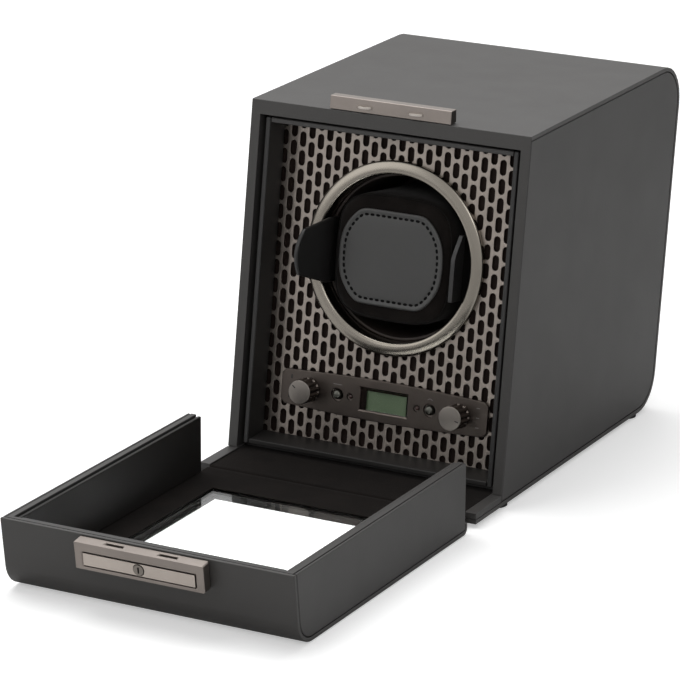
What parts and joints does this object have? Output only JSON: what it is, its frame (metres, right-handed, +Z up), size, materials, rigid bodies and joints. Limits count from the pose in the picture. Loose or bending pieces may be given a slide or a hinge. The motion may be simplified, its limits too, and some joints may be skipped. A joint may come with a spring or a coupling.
{
  "type": "watch winder",
  "caption": "Single watch winder: leaning covered case with a fold-down windowed cover, a motor-driven drum that holds a padded cuff, and a control panel.",
  "frame": {"origin": "on the surface the winder stands on, at the middle of its outer box with the cover open", "axes": "+Z up; -Y from the case toward the open cover, the side a person faces; +X to that person's right"},
  "size_m": [0.15, 0.4128, 0.1852],
  "materials": {
    "leatherette": "fine-grained, satin",
    "side_leatherette": "fine-grained, satin",
    "board": "covered fibreboard, matt",
    "felt": "brushed black felt",
    "gunmetal": "satin gunmetal anodised",
    "pewter": "polished warm pewter",
    "latch_metal": "satin warm grey plated",
    "steel": "plain",
    "bronze": "sintered, oiled",
    "black_plastic": "moulded, matt",
    "pulley_plastic": "moulded",
    "cuff_cloth": "velour over foam",
    "patch": "stitched patch, bare",
    "rubber": "matt",
    "window": "clear",
    "display_lens": "clear",
    "display": "muted green liquid-crystal panel, blank",
    "indicator": "tinted light pipe, unlit",
    "circuit_board": "bare laminate"
  },
  "bodies": {
    "case": {"case_wrap": "leatherette", "side_panel_left": "side_leatherette", "side_panel_right": "side_leatherette", "ledge_board": "side_leatherette", "hinge_spine": "side_leatherette", "liner_left": "side_leatherette", "liner_right": "side_leatherette", "liner_top": "side_leatherette", "liner_sill": "side_leatherette", "case_carcass": "board", "ledge_felt": "felt", "faceplate": "gunmetal", "control_panel": "gunmetal", "ring_bezel": "pewter", "keeper_bar": "latch_metal", "motor_bracket": "steel", "gear_motor": "steel", "front_bearing": "bronze", "rear_bearing": "bronze", "backing_panel": "black_plastic", "drum_housing": "black_plastic", "selector_left": "black_plastic", "selector_right": "black_plastic", "key_switch_left": "black_plastic", "key_switch_right": "black_plastic", "power_inlet": "black_plastic", "foot_front_left": "rubber", "foot_front_right": "rubber", "foot_rear_left": "rubber", "foot_rear_right": "rubber", "drive_belt": "rubber", "display_window": "display_lens", "display_module": "display", "indicator_left": "indicator", "indicator_right": "indicator", "control_board": "circuit_board"},
    "cover": {"cover_wrap": "leatherette", "cover_frame": "side_leatherette", "cover_side_left": "side_leatherette", "cover_side_right": "side_leatherette", "cover_liner_left": "side_leatherette", "cover_liner_right": "side_leatherette", "cover_liner_front": "side_leatherette", "cover_felt": "felt", "window_glass": "window", "latch_body": "latch_metal"},
    "latch_plate": {"latch_push_plate": "latch_metal"},
    "lock": {"lock_cylinder": "steel"},
    "drum": {"drum": "black_plastic", "drum_shaft": "steel", "drum_pulley": "pulley_plastic"},
    "motor_pulley": {"motor_pulley": "pulley_plastic"},
    "cuff": {"cuff_body": "cuff_cloth", "cuff_patch": "patch"},
    "wing_left": {"cuff_wing_left": "black_plastic"},
    "wing_right": {"cuff_wing_right": "black_plastic"},
    "knob_left": {"knob_left": "gunmetal"},
    "knob_right": {"knob_right": "gunmetal"},
    "button_left": {"button_left": "gunmetal"},
    "button_right": {"button_right": "gunmetal"}
  },
  "joints": [
    {"name": "cover_hinge", "type": "hinge", "parent": "case", "child": "cover", "pos_m": [0, -0.02336, 0.0074], "axis": [1, 0, 0], "range_deg": [-98.15, 0]},
    {"name": "drum_spin", "type": "hinge", "parent": "case", "child": "drum", "pos_m": [0, 0.02065, 0.10877], "axis": [0, 0.9899, -0.1418], "continuous": true},
    {"name": "motor_spin", "type": "hinge", "parent": "case", "child": "motor_pulley", "pos_m": [0, 0.01497, 0.06917], "axis": [0, 0.9899, -0.1418], "continuous": true},
    {"name": "cuff_slide", "type": "slide", "parent": "drum", "child": "cuff", "axis": [0, -0.9899, 0.1418], "range_m": [0, 0.06]},
    {"name": "wing_left_flex", "type": "hinge", "parent": "cuff", "child": "wing_left", "pos_m": [-0.034, 0.03896, 0.10614], "axis": [0, 0.1418, 0.9899], "range_deg": [0, 10], "stiffness_Nm_per_rad": 0.5, "springref_deg": -2.86},
    {"name": "wing_right_flex", "type": "hinge", "parent": "cuff", "child": "wing_right", "pos_m": [0.034, 0.03896, 0.10614], "axis": [0, -0.1418, -0.9899], "range_deg": [0, 10], "stiffness_Nm_per_rad": 0.5, "springref_deg": -2.86},
    {"name": "knob_left_turn", "type": "hinge", "parent": "case", "child": "knob_left", "pos_m": [-0.04113, 0.01056, 0.03839], "axis": [0, 0.9899, -0.1418], "range_deg": [-60, 60]},
    {"name": "button_left_press", "type": "slide", "parent": "case", "child": "button_left", "axis": [0, 0.9899, -0.1418], "range_m": [0, 0.0008], "stiffness_N_per_m": 400, "springref_m": -0.0005},
    {"name": "knob_right_turn", "type": "hinge", "parent": "case", "child": "knob_right", "pos_m": [0.04113, 0.01056, 0.03839], "axis": [0, 0.9899, -0.1418], "range_deg": [-60, 60]},
    {"name": "button_right_press", "type": "slide", "parent": "case", "child": "button_right", "axis": [0, 0.9899, -0.1418], "range_m": [0, 0.0008], "stiffness_N_per_m": 400, "springref_m": -0.0005},
    {"name": "latch_press", "type": "slide", "parent": "cover", "child": "latch_plate", "axis": [0, 0.9899, 0.1418], "range_m": [0, 0.001], "stiffness_N_per_m": 800, "springref_m": -0.0005},
    {"name": "lock_turn", "type": "hinge", "parent": "cover", "child": "lock", "pos_m": [0, -0.19906, 0.02738], "axis": [0, 0.9899, 0.1418], "range_deg": [0, 90]}
  ],
  "couplings": [
    {"joint": "motor_spin", "follows": "drum_spin", "ratio": 5.119}
  ]
}
